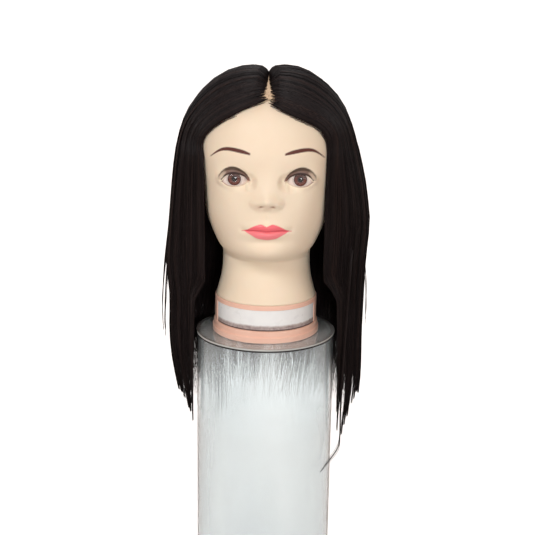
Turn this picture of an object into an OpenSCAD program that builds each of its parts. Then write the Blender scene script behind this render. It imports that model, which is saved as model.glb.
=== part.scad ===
// Hairdressing training head: a vinyl face over a foam core, long centre-parted hair and a pink
// neck base, set on an upturned clear cylinder on which it turns while someone works on the hair.
// Millimetres, +Z up. The face looks along -Y, and the head's own left side is at +X.
// The origin is the centre of the cylinder's foot, on the surface that it stands on.

/* [Stand] */
// Outside diameter of the clear cylinder
stand_d = 143; // [130:1:180]
// Height from the foot to the upper face of the top disc
stand_h = 280; // [200:1:340]
// Wall of the cylinder
stand_wall = 3; // [2:0.5:5]
// Thickness of the top disc
top_t = 3; // [3:0.5:6]
// How far the top disc stands out past the cylinder
top_lip = 1; // [0.5:0.5:3]
// Rounding of the top disc's upper edge
top_round = 1; // [0.4:0.2:2]

/* [Swivel] */
// Diameter of the post that the head turns on
post_d = 25; // [18:0.5:32]
// Height of the post above the top disc
post_h = 58; // [48:1:70]
// Radial running clearance between the post and the neck socket
post_play = 0.05; // [0.02:0.01:0.1]
// Space between the post's end and the socket's roof
post_headroom = 1; // [0.5:0.1:3]
// Wall and roof of the neck socket
socket_wall = 3.5; // [2.5:0.5:5]
// Thread diameter of the screw that holds the post down
post_screw_d = 8; // [6:1:10]
// Length of that screw inside the post
post_screw_grip = 22; // [14:1:30]

/* [Neck base] */
// Outside diameter of the collar
collar_d = 105.2; // [86:0.2:128]
// Height of the collar above the flange
collar_h = 26.5; // [24:0.5:36]
// Wall of the collar
collar_wall = 6; // [4:0.5:8]
// How far the flange stands out past the collar
flange_lip = 2.6; // [1:0.2:5]
// Height of the flange
flange_h = 12.2; // [10:0.1:16]
// Height of the flange's lower, wider step
flange_step_h = 6.5; // [4:0.1:8]
// Width of that step
flange_step = 1.4; // [0.6:0.1:2]
// Running gap between the flange and the top disc
seat_gap = 0.3; // [0.3:0.1:0.6]
// Height of the label recess above the flange
recess_h = 22; // [14:0.5:23]
// Depth of the label recess
recess_depth = 1; // [0.6:0.1:1.6]
// Angle that the label recess spans across the front
recess_arc = 142; // [90:2:160]
// Thickness of the label
label_t = 0.4; // [0.2:0.1:0.5]
// Margin between the label and the edges of its recess
label_margin = 0.4; // [0.2:0.1:1]
// Thickness of the plug inside the collar
plug_t = 16; // [12:0.5:20]
// Thread diameter of the screws that hold the flange to the plug
base_screw_d = 4; // [3:0.5:5]
// Length of those screws inside the plug
base_screw_grip = 11; // [6:0.5:12]
// Number of those screws
base_screw_count = 4; // [3:1:6]

/* [Head] */
// Diameter of the neck at its narrowest
neck_d = 89.6; // [78:0.2:106]
// Step in radius from the collar to the neck
neck_step = 1.1; // [0.5:0.1:3]
// Height of the neck, from the collar to the underside of the chin
neck_h = 51; // [42:1:62]
// Height of the face, from the underside of the chin to the skull's widest level
face_h = 100; // [84:1:120]
// Height of the skull above its widest level
dome_h = 72; // [60:1:86]
// Width of the skull
head_w = 142; // [118:1:172]
// Reach of the forehead in front of the neck's axis
face_d = 89; // [75:1:106]
// Reach of the skull behind the neck's axis
back_d = 91; // [76:1:109]
// Thickness of the vinyl skin
skin_t = 5; // [3.5:0.5:6]
// Gap around the foam core
foam_gap = 0.5; // [0.4:0.1:0.8]
// Thickness of the scalp cap
cap_t = 1.5; // [1:0.1:2]
// Gap between the scalp cap and the skin
cap_gap = 1; // [0.8:0.1:1.5]

/* [Face] */
// Distance between the centres of the eyes
eye_spacing = 62.6; // [54:0.2:74]
// Height of the eyes above the underside of the chin
eye_rise = 83; // [70:0.5:90]
// Diameter of an eyeball
eye_d = 30; // [25:0.5:36]
// How far an eyeball stands out of its socket's skin
eye_proud = 4; // [3:0.2:5]
// Upward tilt of the eyes
eye_tilt = 1; // [0:1:12]
// Diameter of the iris
iris_d = 12.6; // [10:0.2:16]
// Thickness of the iris disc
iris_t = 0.4; // [0.3:0.1:0.8]
// Depth of the flat cut across the front of the eyeball
eye_flat = 2.2; // [1.8:0.1:3]
// Height of the lens over that flat
lens_h = 2.4; // [1.8:0.1:2.4]
// Gap around an eyeball in its pocket
eye_gap = 0.3; // [0.2:0.1:0.6]
// Depth of the eye sockets in the face
socket_depth = 3.5; // [2:0.1:4]
// Reach of the nose in front of the face
nose_d = 12; // [10:0.5:18]
// Breadth of the nose
nose_w = 24; // [18:0.5:30]
// Height of the mouth line above the underside of the chin
mouth_rise = 34; // [28:0.5:42]
// Breadth of the mouth
mouth_w = 46; // [38:0.5:54]
// Fullness of the lips
lip_d = 4; // [2:0.2:6]

/* [Hair] */
// Length that hangs below the skull's widest level
hair_drop = 285; // [180:5:300]
// Stand-off of the hair's outer face from the skull beside the temples
hair_lift = 20.5; // [16:0.5:28]
// Thickness of the hair where it hangs free
curtain_t = 12; // [8:0.5:16]
// Thickness of the hair along its front edge
edge_t = 4; // [3:0.5:6]
// Gap between the hair and the scalp cap
hair_gap = 2; // [1.8:0.1:3]
// Gap between the hair and the stand
stand_gap = 5; // [2:0.5:8]
// Gap between neighbouring locks at the part
lock_gap = 0.6; // [0.4:0.1:1]
// Gap between the two sides of the part
part_gap = 1.6; // [1:0.1:3]

/* [Hidden] */
$fn = 96;

SIDES = ["left", "right"];
LOCKS = ["front", "temple", "side", "rear", "back", "nape"];
function eye_node(side, piece) = str(SIDES[side], "_eye_", piece);
function hair_node(side, lock) = str("hair_", SIDES[side], "_", LOCKS[lock]);

// Radii of the turned pieces
stand_r = stand_d / 2;
top_r = stand_r + top_lip;
collar_r = collar_d / 2;
collar_in_r = collar_r - collar_wall;
flange_r = collar_r + flange_lip;
bore_r = post_d / 2 + post_play;
socket_r = bore_r + socket_wall;
fit_gap = 0.2;
plug_r = collar_in_r - fit_gap;
screw_circle_r = (socket_r + plug_r) / 2;

// Screw heads follow their threads
post_head_w = 1.625 * post_screw_d;
post_head_h = 0.66 * post_screw_d;
post_washer_r = post_screw_d;
post_washer_t = 0.2 * post_screw_d;
base_head_r = 0.95 * base_screw_d;
base_head_h = 0.6 * base_screw_d;
thread_gap = 0.1;

// Levels, from the foot up
flange_z = stand_h + seat_gap;
collar_z = flange_z + flange_h;
neck_z = collar_z + collar_h;
chin_z = neck_z + neck_h;
skull_z = chin_z + face_h;
crown_z = skull_z + dome_h;
plug_top_z = collar_z + plug_t;
socket_top_z = stand_h + post_h + post_headroom + socket_wall;
eye_z = chin_z + eye_rise;
mouth_z = chin_z + mouth_rise;

// Smooth curve through [position, value] knots
function knot_slope(knots, i) =
    let(a = max(i - 1, 0), b = min(i + 1, len(knots) - 1))
    (knots[b][1] - knots[a][1]) / (knots[b][0] - knots[a][0]);
function curve(knots, p, i = 0) =
    i < len(knots) - 2 && p > knots[i + 1][0] ? curve(knots, p, i + 1)
    : let(
        span = knots[i + 1][0] - knots[i][0],
        t = max(0, min(1, (p - knots[i][0]) / span)),
        a = knots[i][1],
        b = knots[i + 1][1],
        rise_a = knot_slope(knots, i) * span,
        rise_b = knot_slope(knots, i + 1) * span,
        square = 3 * (b - a) - 2 * rise_a - rise_b,
        cube = 2 * (a - b) + rise_a + rise_b
    )
    a + t * (rise_a + t * (square + t * cube));
function mix(a, b, t) = a + (b - a) * t;
function smooth(t) = let(c = max(0, min(1, t))) c * c * (3 - 2 * c);
function bump(distance, radius) = exp(-pow(distance / radius, 2));
function signed_power(v, p) = sign(v) * pow(abs(v), p);

// Heights along the neck and the face, as shares of their lengths
function neck_at(share) = neck_z + share * neck_h;
function face_at(share) = chin_z + share * face_h;

// Half breadth, front reach and back reach of the head at each height up to the skull's widest level
neck_r = neck_d / 2;
neck_foot_r = collar_r - neck_step;
neck_flare = [
    [neck_at(0), neck_foot_r],
    [neck_at(0.22), mix(neck_r, neck_foot_r, 0.55)],
    [neck_at(0.42), mix(neck_r, neck_foot_r, 0.2)]
];
side_knots = concat(neck_flare, [
    [neck_at(0.68), neck_r],
    [face_at(0), 0.32 * head_w],
    [face_at(0.07), 0.35 * head_w],
    [face_at(0.16), 0.38 * head_w],
    [face_at(0.3), 0.42 * head_w],
    [face_at(0.41), 0.439 * head_w],
    [face_at(0.53), 0.45 * head_w],
    [face_at(0.75), 0.467 * head_w],
    [face_at(1), 0.5 * head_w]
]);
front_knots = concat(neck_flare, [
    [neck_at(0.64), 0.97 * neck_r],
    [neck_at(0.8), neck_r],
    [neck_at(0.88), 0.53 * face_d],
    [neck_at(0.94), 0.64 * face_d],
    [face_at(0), 0.76 * face_d],
    [face_at(0.03), 0.84 * face_d],
    [face_at(0.07), 0.893 * face_d],
    [face_at(0.13), 0.927 * face_d],
    [face_at(0.22), 0.935 * face_d],
    [face_at(0.35), 0.955 * face_d],
    [face_at(0.6), 0.978 * face_d],
    [face_at(1), face_d]
]);
back_knots = concat(neck_flare, [
    [neck_at(0.7), 1.16 * neck_r],
    [face_at(0), 0.66 * back_d],
    [face_at(0.2), 0.77 * back_d],
    [face_at(0.4), 0.868 * back_d],
    [face_at(0.6), 0.934 * back_d],
    [face_at(0.8), 0.978 * back_d],
    [face_at(1), back_d]
]);

// Roundness of the level sections and of the dome: 2 is an ellipse, more is squarer
neck_power = 2;
face_power = 2.3;
back_power = 2.1;
dome_power = 2.4;
function front_power(z) = mix(neck_power, face_power, smooth((z - chin_z) / (0.6 * face_h)));
function rear_power(z) = mix(neck_power, back_power, smooth((z - neck_z) / neck_h));
function dome_share(z, inset) =
    let(rise = max(0, min(1, (z - skull_z) / (dome_h - inset))))
    pow(1 - pow(rise, dome_power), 1 / dome_power);

// Point of the plain head at an angle from the front and a height, moved in by the inset
function head_point(angle, z, inset = 0) =
    let(
        level = min(z, skull_z),
        share = dome_share(z, inset),
        facing = cos(angle) >= 0,
        reach = curve(facing ? front_knots : back_knots, level) - inset,
        power = 2 / (facing ? front_power(level) : rear_power(level)),
        half = curve(side_knots, level) - inset
    )
    [share * half * signed_power(sin(angle), power), -share * reach * signed_power(cos(angle), power), z];

// Front of the plain face at a distance from the middle
function front_y(x, z) =
    let(power = front_power(z))
    -curve(front_knots, z) * pow(1 - pow(abs(x) / curve(side_knots, z), power), 1 / power);

// Features of the face, as reach in front of the plain head
eye_x = eye_spacing / 2;
eye_r = eye_d / 2;
eye_y = front_y(eye_x, eye_z) + socket_depth - eye_proud + eye_r;
nose_knots = [
    [eye_z - 29, 0],
    [eye_z - 27, 0.16 * nose_d],
    [eye_z - 24, 0.65 * nose_d],
    [eye_z - 19, nose_d],
    [eye_z - 15, 0.92 * nose_d],
    [eye_z - 5, 0.49 * nose_d],
    [eye_z + 5, 0.19 * nose_d],
    [eye_z + 13, 0]
];
function nose_half(z) = mix(0.5, 0.29, smooth((z - eye_z + 19) / 20)) * nose_w;
function relief(x, z) =
    curve(nose_knots, z) * bump(x, nose_half(z))
    + lip_d * bump(z - mouth_z - 4.5, 4) * bump(x, mouth_w / 3)
    + lip_d * bump(z - mouth_z + 5, 4.5) * bump(x, mouth_w / 3.4)
    + 2 * bump(z - chin_z - 13, 12) * bump(x, 18)
    + 1.5 * bump(z - chin_z - 50, 16) * bump(abs(x) - 38, 16)
    + bump(z - chin_z - 110, 9) * bump(abs(x) - 30, 22)
    + 4 * bump(z - eye_z + 3, 17) * bump(abs(x) - eye_x - 15, 12)
    - socket_depth * bump(z - eye_z, 11) * bump(abs(x) - eye_x, 14);
function face_point(angle, z) =
    let(p = head_point(angle, z))
    cos(angle) > 0 ? p - [0, relief(p[0], z), 0] : p;

// Directions around the head, closer together across the face
ring_count = 48;
function ring_angle(i) = let(a = 360 * i / ring_count) a - 25 * sin(a);
RING = [for (i = [0:ring_count - 1]) ring_angle(i)];

// Heights of the rings: close over the face, wide on hidden faces
DOME_ANGLES = [12:12:84];
INNER_ANGLES = [18:22:84];
function dome_z(angle, inset) = skull_z + (dome_h - inset) * sin(angle);
OUTER_LEVELS = concat(
    [for (share = [0, 0.22, 0.42, 0.64, 0.8, 0.88, 0.94]) neck_at(share)],
    [for (share = [0:0.04:1]) face_at(share)],
    [for (angle = DOME_ANGLES) dome_z(angle, 0)]
);
function inner_levels(inset) = concat(
    [for (share = [0, 0.22, 0.42, 0.8, 0.88, 0.94, 1]) neck_at(share)],
    [for (share = [0.07:0.155:1]) face_at(share)],
    [for (angle = INNER_ANGLES) dome_z(angle, inset)]
);
function inner_ring(z, inset) = [for (angle = RING) head_point(angle, z, inset)];

// Closed solid whose surface runs through equal loops of points, from one end point to the other
module tube(loops, first, last) {
    count = len(loops[0]);
    rows = len(loops);
    points = concat([for (loop = loops) each loop], [first, last]);
    sides = [
        for (row = [0:rows - 2], i = [0:count - 1])
            let(a = row * count + i, b = row * count + (i + 1) % count)
            each [[a, a + count, b + count], [a, b + count, b]]
    ];
    ends = [
        for (i = [0:count - 1])
            let(next = (i + 1) % count, end = (rows - 1) * count)
            each [[rows * count, i, next], [rows * count + 1, end + next, end + i]]
    ];
    polyhedron(points, concat(sides, ends), convexity = 8);
}
function middle(loop) = [for (axis = [0:2]) [for (p = loop) p[axis]] * [for (p = loop) 1 / len(loop)]];
function backwards(list) = [for (i = [len(list) - 1:-1:0]) list[i]];

// Stand
module stand_tube() {
    color("aliceblue", 0.5)
    linear_extrude(stand_h - top_t)
    difference() {
        circle(stand_r);
        circle(stand_r - stand_wall);
    }
}

module stand_top() {
    color("aliceblue", 0.4)
    translate([0, 0, stand_h - top_t])
    rotate_extrude()
    difference() {
        translate([post_screw_d / 2 + thread_gap, 0])
        square([top_r - post_screw_d / 2 - thread_gap, top_t]);
        translate([top_r - top_round, top_t - top_round])
        difference() {
            square(2 * top_round);
            circle(top_round);
        }
    }
}

// Post with a blind threaded hole in its foot and a chamfered end
post_chamfer = 1.5;
module swivel_post() {
    color("silver")
    translate([0, 0, stand_h])
    difference() {
        union() {
            cylinder(r = post_d / 2, h = post_h - post_chamfer);
            translate([0, 0, post_h - post_chamfer])
            cylinder(r1 = post_d / 2, r2 = post_d / 2 - post_chamfer, h = post_chamfer);
        }
        translate([0, 0, -1])
        cylinder(r = post_screw_d / 2 + thread_gap, h = post_screw_grip + 2);
    }
}

module post_washer() {
    color("gainsboro")
    translate([0, 0, stand_h - top_t - post_washer_t])
    linear_extrude(post_washer_t)
    difference() {
        circle(post_washer_r);
        circle(post_screw_d / 2 + thread_gap);
    }
}

module post_screw() {
    head_z = stand_h - top_t - post_washer_t - post_head_h;
    color("gainsboro")
    union() {
        translate([0, 0, head_z])
        cylinder(r = post_head_w / sqrt(3), h = post_head_h, $fn = 6);
        translate([0, 0, head_z])
        cylinder(r = post_screw_d / 2, h = stand_h + post_screw_grip - head_z);
    }
}

// Places of the base screws
module at_base_screws() {
    for (i = [0:base_screw_count - 1])
        rotate([0, 0, 360 * (i + 0.5) / base_screw_count])
        translate([screw_circle_r, 0, 0])
        children();
}

// Stepped pink flange with counterbored screw holes in its underside
edge_round = 0.8;
module flange_profile() {
    polygon([
        [socket_r + fit_gap, 0],
        [flange_r - edge_round, 0],
        [flange_r, edge_round],
        [flange_r, flange_step_h - edge_round],
        [flange_r - edge_round, flange_step_h],
        [flange_r - flange_step, flange_step_h],
        [flange_r - flange_step, flange_h - edge_round],
        [flange_r - flange_step - edge_round, flange_h],
        [socket_r + fit_gap, flange_h]
    ]);
}
module base_flange() {
    color("lightsalmon")
    translate([0, 0, flange_z])
    difference() {
        rotate_extrude()
        flange_profile();
        at_base_screws() {
            translate([0, 0, -1])
            cylinder(r = base_screw_d / 2 + thread_gap, h = flange_h + 2);
            translate([0, 0, -1])
            cylinder(r = base_head_r + fit_gap, h = base_head_h + fit_gap + 1);
        }
    }
}

module base_screws() {
    head_z = flange_z + fit_gap;
    color("gainsboro")
    at_base_screws() {
        translate([0, 0, head_z])
        cylinder(r = base_head_r, h = base_head_h);
        translate([0, 0, head_z])
        cylinder(r = base_screw_d / 2, h = collar_z + base_screw_grip - head_z);
    }
}

// Arc of a ring, centred on the front
module front_arc(inner_r, outer_r, angle, height) {
    rotate([0, 0, -90 - angle / 2])
    rotate_extrude(angle = angle)
    translate([inner_r, 0])
    square([outer_r - inner_r, height]);
}

module neck_collar() {
    color("lightsalmon")
    translate([0, 0, collar_z])
    difference() {
        rotate_extrude()
        polygon([
            [collar_in_r, 0],
            [collar_r, 0],
            [collar_r, collar_h - edge_round],
            [collar_r - edge_round, collar_h],
            [collar_in_r, collar_h]
        ]);
        translate([0, 0, -1])
        front_arc(collar_r - recess_depth, collar_r + 1, recess_arc, recess_h + 1);
    }
}

// Bare label in the recess
module label_strip() {
    floor_r = collar_r - recess_depth;
    margin_angle = label_margin / collar_r * 180 / PI;
    color("whitesmoke")
    translate([0, 0, collar_z + label_margin])
    front_arc(floor_r, floor_r + label_t, recess_arc - 2 * margin_angle, recess_h - 2 * label_margin);
}

module neck_plug() {
    color("burlywood")
    translate([0, 0, collar_z])
    difference() {
        linear_extrude(plug_t)
        difference() {
            circle(plug_r);
            circle(socket_r + fit_gap);
        }
        at_base_screws()
        translate([0, 0, -1])
        cylinder(r = base_screw_d / 2 + thread_gap, h = base_screw_grip + 2);
    }
}

// Blind socket that turns on the post, level with the flange's underside
module socket_tube() {
    color("dimgray")
    difference() {
        translate([0, 0, flange_z])
        cylinder(r = socket_r, h = socket_top_z - flange_z);
        translate([0, 0, flange_z - 1])
        cylinder(r = bore_r, h = socket_top_z - socket_wall - flange_z + 1);
    }
}

// Places of the eyeballs
module at_eyeballs() {
    for (side = [-1, 1])
        translate([side * eye_x, eye_y, eye_z])
        children();
}

// Room for the eyeballs in the skin and the core
module eye_pockets() {
    at_eyeballs()
    rotate([0, 0, 90])
    sphere(r = eye_r + eye_gap);
}

// The core's pockets are open to the front, so that the eyelids can close on the eyeballs
eye_mouth_r = eye_r + 1.2;
module eye_mouths() {
    at_eyeballs()
    rotate([90, 0, 0])
    cylinder(r = eye_mouth_r, h = face_d);
}

module foam_core() {
    inset = skin_t + foam_gap;
    foot_z = plug_top_z + foam_gap;
    foot_r = collar_in_r - foam_gap;
    foot = [for (angle = RING) [foot_r * sin(angle), -foot_r * cos(angle), foot_z]];
    color("khaki")
    difference() {
        tube(
            concat([foot], [for (z = inner_levels(inset)) inner_ring(z, inset)]),
            [0, 0, foot_z],
            [0, 0, crown_z - inset]
        );
        translate([0, 0, foot_z - 1])
        cylinder(r = socket_r + fit_gap, h = socket_top_z + fit_gap - foot_z + 1);
        eye_pockets();
        eye_mouths();
    }
}

module head_skin() {
    inside = [for (z = inner_levels(skin_t)) inner_ring(z, skin_t)];
    outside = [for (z = OUTER_LEVELS) [for (angle = RING) face_point(angle, z)]];
    color("bisque")
    difference() {
        tube(
            concat(backwards(inside), outside),
            [0, 0, crown_z - skin_t],
            [0, 0, crown_z]
        );
        eye_pockets();
    }
}

// Lower edge of the scalp cap by angle from the front
hairline_knots = [
    [0, skull_z + 57],
    [20, skull_z + 55],
    [35, skull_z + 46],
    [45, skull_z + 39],
    [55, skull_z + 29],
    [63, skull_z + 12],
    [70, skull_z - 6],
    [80, skull_z - 22],
    [90, skull_z - 30],
    [120, skull_z - 46],
    [180, skull_z - 60]
];
function hairline(angle) = curve(hairline_knots, angle <= 180 ? angle : 360 - angle);
CAP_STEPS = concat([for (step = [0:0.1:0.9]) step], [0.96]);
function cap_ring(step, offset) = [
    for (angle = RING)
        head_point(angle, mix(hairline(angle), crown_z + offset, sin(90 * step)), -offset)
];
module scalp_cap() {
    inside = [for (step = CAP_STEPS) cap_ring(step, cap_gap)];
    outside = [for (step = CAP_STEPS) cap_ring(step, cap_gap + cap_t)];
    color("wheat")
    tube(
        concat(backwards(inside), outside),
        [0, 0, crown_z + cap_gap],
        [0, 0, crown_z + cap_gap + cap_t]
    );
}

// Eyes: a ball with a flat front, an iris disc let into the flat and a clear lens over it
flat_y = eye_r - eye_flat;
flat_r = sqrt(eye_r * eye_r - flat_y * flat_y);
lens_r = (flat_r * flat_r + lens_h * lens_h) / (2 * lens_h);
module at_eye(side) {
    translate([side == 0 ? eye_x : -eye_x, eye_y, eye_z])
    rotate([90 - eye_tilt, 0, 0])
    children();
}

module eye_white(side) {
    color("white")
    at_eye(side)
    difference() {
        sphere(r = eye_r);
        translate([0, 0, flat_y])
        cylinder(r = eye_r, h = eye_r);
        translate([0, 0, flat_y - iris_t])
        cylinder(r = iris_d / 2, h = eye_r);
    }
}

module eye_iris(side) {
    color("saddlebrown")
    at_eye(side)
    translate([0, 0, flat_y - iris_t])
    cylinder(r = iris_d / 2, h = iris_t);
}

module eye_lens(side) {
    color("azure", 0.3)
    at_eye(side)
    difference() {
        translate([0, 0, flat_y + lens_h - lens_r])
        sphere(r = lens_r);
        translate([0, 0, flat_y - 2 * lens_r])
        cylinder(r = 2 * lens_r, h = 2 * lens_r);
    }
}

// Reach of the skull from the middle of its widest level, along a direction
function skull_reach(d) =
    let(
        depth = d[1] <= 0 ? face_d : back_d,
        power = d[1] <= 0 ? face_power : back_power,
        level = pow(pow(abs(d[0]) / (head_w / 2), power) + pow(abs(d[1]) / depth, power), 1 / power)
    )
    pow(pow(level, dome_power) + pow(abs(d[2]) / dome_h, dome_power), -1 / dome_power);

// Hair springs from the part, runs over the skull to its widest level and hangs from there.
// Place runs from 0 at the front of the part to 1 at the back, on one side of the head.
hair_floor = cap_gap + cap_t + hair_gap;
least_hair = 1;
part_front = 51;
part_back = -28;
edge_angle = 46;
// How far the front hair bows up on its way, as a share of the skull's reach, the place where that ends,
// and the share of the way at which the bow is highest
edge_bow = 0.14;
bow_end = 0.4;
bow_peak = 0.75;
function bow_shape(t) = pow(t / bow_peak, 3) * (1 - t) / (1 - bow_peak);
function part_direction(place) = let(a = mix(part_front, part_back, place)) [0, -sin(a), cos(a)];
function shoulder_angle(place) = mix(edge_angle, 180, place);
function shoulder_direction(place) = let(a = shoulder_angle(place)) [sin(a), -cos(a), 0];

// Share of the hair's stand-off around the head and along the way down from the part
around_knots = [[edge_angle, 0.19], [70, 0.6], [90, 1], [120, 0.94], [150, 0.7], [180, 0.55]];
along_knots = [
    [0, 0.12],
    [0.05, 0.42],
    [0.1, 0.57],
    [0.2, 0.63],
    [0.3, 0.63],
    [0.5, 0.58],
    [0.6, 0.63],
    [0.75, 0.76],
    [0.9, 0.89],
    [1, 1]
];
function hair_height(place, t) =
    let(lift = hair_lift * curve(around_knots, shoulder_angle(place)) * curve(along_knots, t))
    max(hair_floor + least_hair, lift);

function lay_direction(place, t) =
    let(
        part = part_direction(place),
        shoulder = shoulder_direction(place),
        bow = edge_bow * (1 - smooth(place / bow_end)) * bow_shape(t),
        d = mix(part, shoulder, t) + bow * cross(part, shoulder)
    )
    d / norm(d);
function lay_point(place, t, height) =
    let(d = lay_direction(place, t), p = (skull_reach(d) + height) * d)
    [p[0], p[1], p[2] + skull_z];

// Spread of the hanging hair against its drop: outward, and along Y in front and behind
wide_knots = [
    [0, 1],
    [20, 1.04],
    [45, 1.085],
    [70, 1.115],
    [95, 1.125],
    [120, 1.125],
    [150, 1.11],
    [190, 1.11],
    [245, 1.08],
    [285, 1]
];
fore_knots = [[0, 1], [50, 0.87], [100, 0.62], [150, 0.42], [285, 0.31]];
rear_knots = [[0, 1], [130, 0.93], [285, 0.88]];
settle = 60;
tip_share = 0.15;
// Place from which the hair spreads in full: at the front edge it hangs straight
spread_start = 0.2;
// Drop over which the hair moves out to pass beside the stand
clear_start = 80;
clear_run = 70;
function hang_thickness(place, drop, length) =
    let(
        start = hair_height(place, 1) - hair_floor,
        free = mix(edge_t, curtain_t, smooth(place * 4)),
        share = drop / length
    )
    mix(start, free, smooth(drop / settle)) * mix(1, tip_share, share * share);
function hang_point(place, drop, length, inner) =
    let(
        top = lay_point(place, 1, hair_height(place, 1)),
        x = top[0] * mix(1, curve(wide_knots, drop), smooth(place / spread_start)),
        y = top[1] * curve(top[1] < 0 ? fore_knots : rear_knots, drop),
        thickness = hang_thickness(place, drop, length),
        clear = (top_r + stand_gap + thickness) * smooth((drop - clear_start) / clear_run),
        scale = (max(norm([x, y]), clear) - (inner ? thickness : 0)) / norm([x, y])
    )
    [x * scale, y * scale, top[2] - drop];

// One lock: rows of loops, outer face then inner face
LAY_STEPS = [0, 0.06, 0.14, 0.24, 0.34, 0.45, 0.56, 0.67, 0.77, 0.86, 0.94, 1];
HANG_STEPS = [0.08, 0.18, 0.3, 0.42, 0.55, 0.68, 0.8, 0.9, 1];
lock_columns = 4;
tip_width = 0.7;
tip_offsets = [[30, -14, -30, 0, 8, 4], [18, -6, -22, 4, 10, 0]];
part_length = (part_front - part_back) * PI / 180 * dome_h;
function lock_places(lock, spread) =
    let(
        count = len(LOCKS),
        half = 0.5 / count - lock_gap / part_length / 2,
        middle = (lock + 0.5) / count
    )
    [for (i = [0:lock_columns]) middle + half * spread * (2 * i / lock_columns - 1)];
function off_part(p) = [max(p[0], part_gap / 2), p[1], p[2]];
function lay_loop(lock, t) =
    let(places = lock_places(lock, 1))
    concat(
        [for (place = places) off_part(lay_point(place, t, hair_height(place, t)))],
        [for (place = backwards(places)) off_part(lay_point(place, t, hair_floor))]
    );
function hang_loop(lock, share, length) =
    let(
        places = lock_places(lock, mix(1, tip_width, pow(share, 3))),
        drop = share * length
    )
    concat(
        [for (place = places) off_part(hang_point(place, drop, length, false))],
        [for (place = backwards(places)) off_part(hang_point(place, drop, length, true))]
    );
module hair_lock(side, lock) {
    length = hair_drop + tip_offsets[side][lock];
    loops = concat(
        [for (t = LAY_STEPS) lay_loop(lock, t)],
        [for (share = HANG_STEPS) hang_loop(lock, share, length)]
    );
    color("black")
    mirror([side, 0, 0])
    tube(loops, middle(loops[0]), middle(loops[len(loops) - 1]));
}

stand_tube();
stand_top();
swivel_post();
post_screw();
post_washer();
base_flange();
neck_collar();
label_strip();
neck_plug();
socket_tube();
base_screws();
foam_core();
head_skin();
scalp_cap();
for (side = [0, 1]) {
    eye_white(side);
    eye_iris(side);
    eye_lens(side);
}
for (side = [0, 1], lock = [0:len(LOCKS) - 1])
    hair_lock(side, lock);
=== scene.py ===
import math

import bpy
import numpy as np
from mathutils import Euler, Matrix, Vector


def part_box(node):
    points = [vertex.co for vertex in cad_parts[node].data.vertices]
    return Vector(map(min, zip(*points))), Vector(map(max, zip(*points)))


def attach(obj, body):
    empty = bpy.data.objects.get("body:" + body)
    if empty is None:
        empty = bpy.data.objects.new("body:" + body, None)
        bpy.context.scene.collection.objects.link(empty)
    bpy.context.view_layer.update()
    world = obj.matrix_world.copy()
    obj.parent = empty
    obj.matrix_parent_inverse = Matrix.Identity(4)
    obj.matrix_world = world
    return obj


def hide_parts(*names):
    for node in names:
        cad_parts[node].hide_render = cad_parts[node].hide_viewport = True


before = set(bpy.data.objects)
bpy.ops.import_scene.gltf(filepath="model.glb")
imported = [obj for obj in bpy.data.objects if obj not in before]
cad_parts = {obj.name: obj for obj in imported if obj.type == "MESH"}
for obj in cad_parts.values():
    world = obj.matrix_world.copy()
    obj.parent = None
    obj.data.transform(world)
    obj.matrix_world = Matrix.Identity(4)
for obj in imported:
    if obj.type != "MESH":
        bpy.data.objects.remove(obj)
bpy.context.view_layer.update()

# Lengths below are millimetres in the frame of the model: +Z up, the face looks along -Y,
# and the head's own left side is at +X.
MM = 0.001
SEED = 7
LEFT, RIGHT = 1, -1
SIDE_NAMES = {LEFT: "left", RIGHT: "right"}


def corner(node, which, axis):
    """A coordinate of a frame node's box: which is 0 for the lowest corner and 1 for the highest."""
    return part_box(node)[which][axis] / MM


TOP_R = corner("stand_top", 1, 0)
TOP_Z = corner("stand_top", 1, 2)
COLLAR_R = corner("neck_collar", 1, 0)
NECK_Z = corner("head_skin", 0, 2)
CROWN_Z = corner("head_skin", 1, 2)


# Plain mathematics

def curve(knots, p):
    """Smooth curve through (position, value) knots, level outside them."""
    x, value = np.array(knots, float).T
    before = np.r_[0, np.arange(len(x) - 1)]
    after = np.r_[np.arange(1, len(x)), len(x) - 1]
    slope = (value[after] - value[before]) / (x[after] - x[before])
    i = np.clip(np.searchsorted(x, p) - 1, 0, len(x) - 2)
    span = x[i + 1] - x[i]
    t = np.clip((p - x[i]) / span, 0, 1)
    a, b = value[i], value[i + 1]
    rise_a, rise_b = slope[i] * span, slope[i + 1] * span
    square = 3 * (b - a) - 2 * rise_a - rise_b
    cube = 2 * (a - b) + rise_a + rise_b
    return a + t * (rise_a + t * (square + t * cube))


def mix(a, b, t):
    return a + (b - a) * t


def smooth(t):
    t = np.clip(t, 0, 1)
    return t * t * (3 - 2 * t)


def bump(distance, radius):
    return np.exp(-((distance / radius) ** 2))


def soft_max(a, b, blend):
    return 0.5 * (a + b + np.sqrt((a - b) ** 2 + blend**2))


def unit(v):
    return v / np.linalg.norm(v, axis=-1, keepdims=True)


def linear(red, green, blue):
    """Linear colour of an sRGB colour given in 0 to 255."""
    c = np.array([red, green, blue]) / 255
    return np.where(c <= 0.04045, c / 12.92, ((c + 0.055) / 1.055) ** 2.4)


# Meshes

def add_object(name, data):
    made = bpy.data.objects.new(name, data)
    bpy.context.scene.collection.objects.link(made)
    return made


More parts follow.
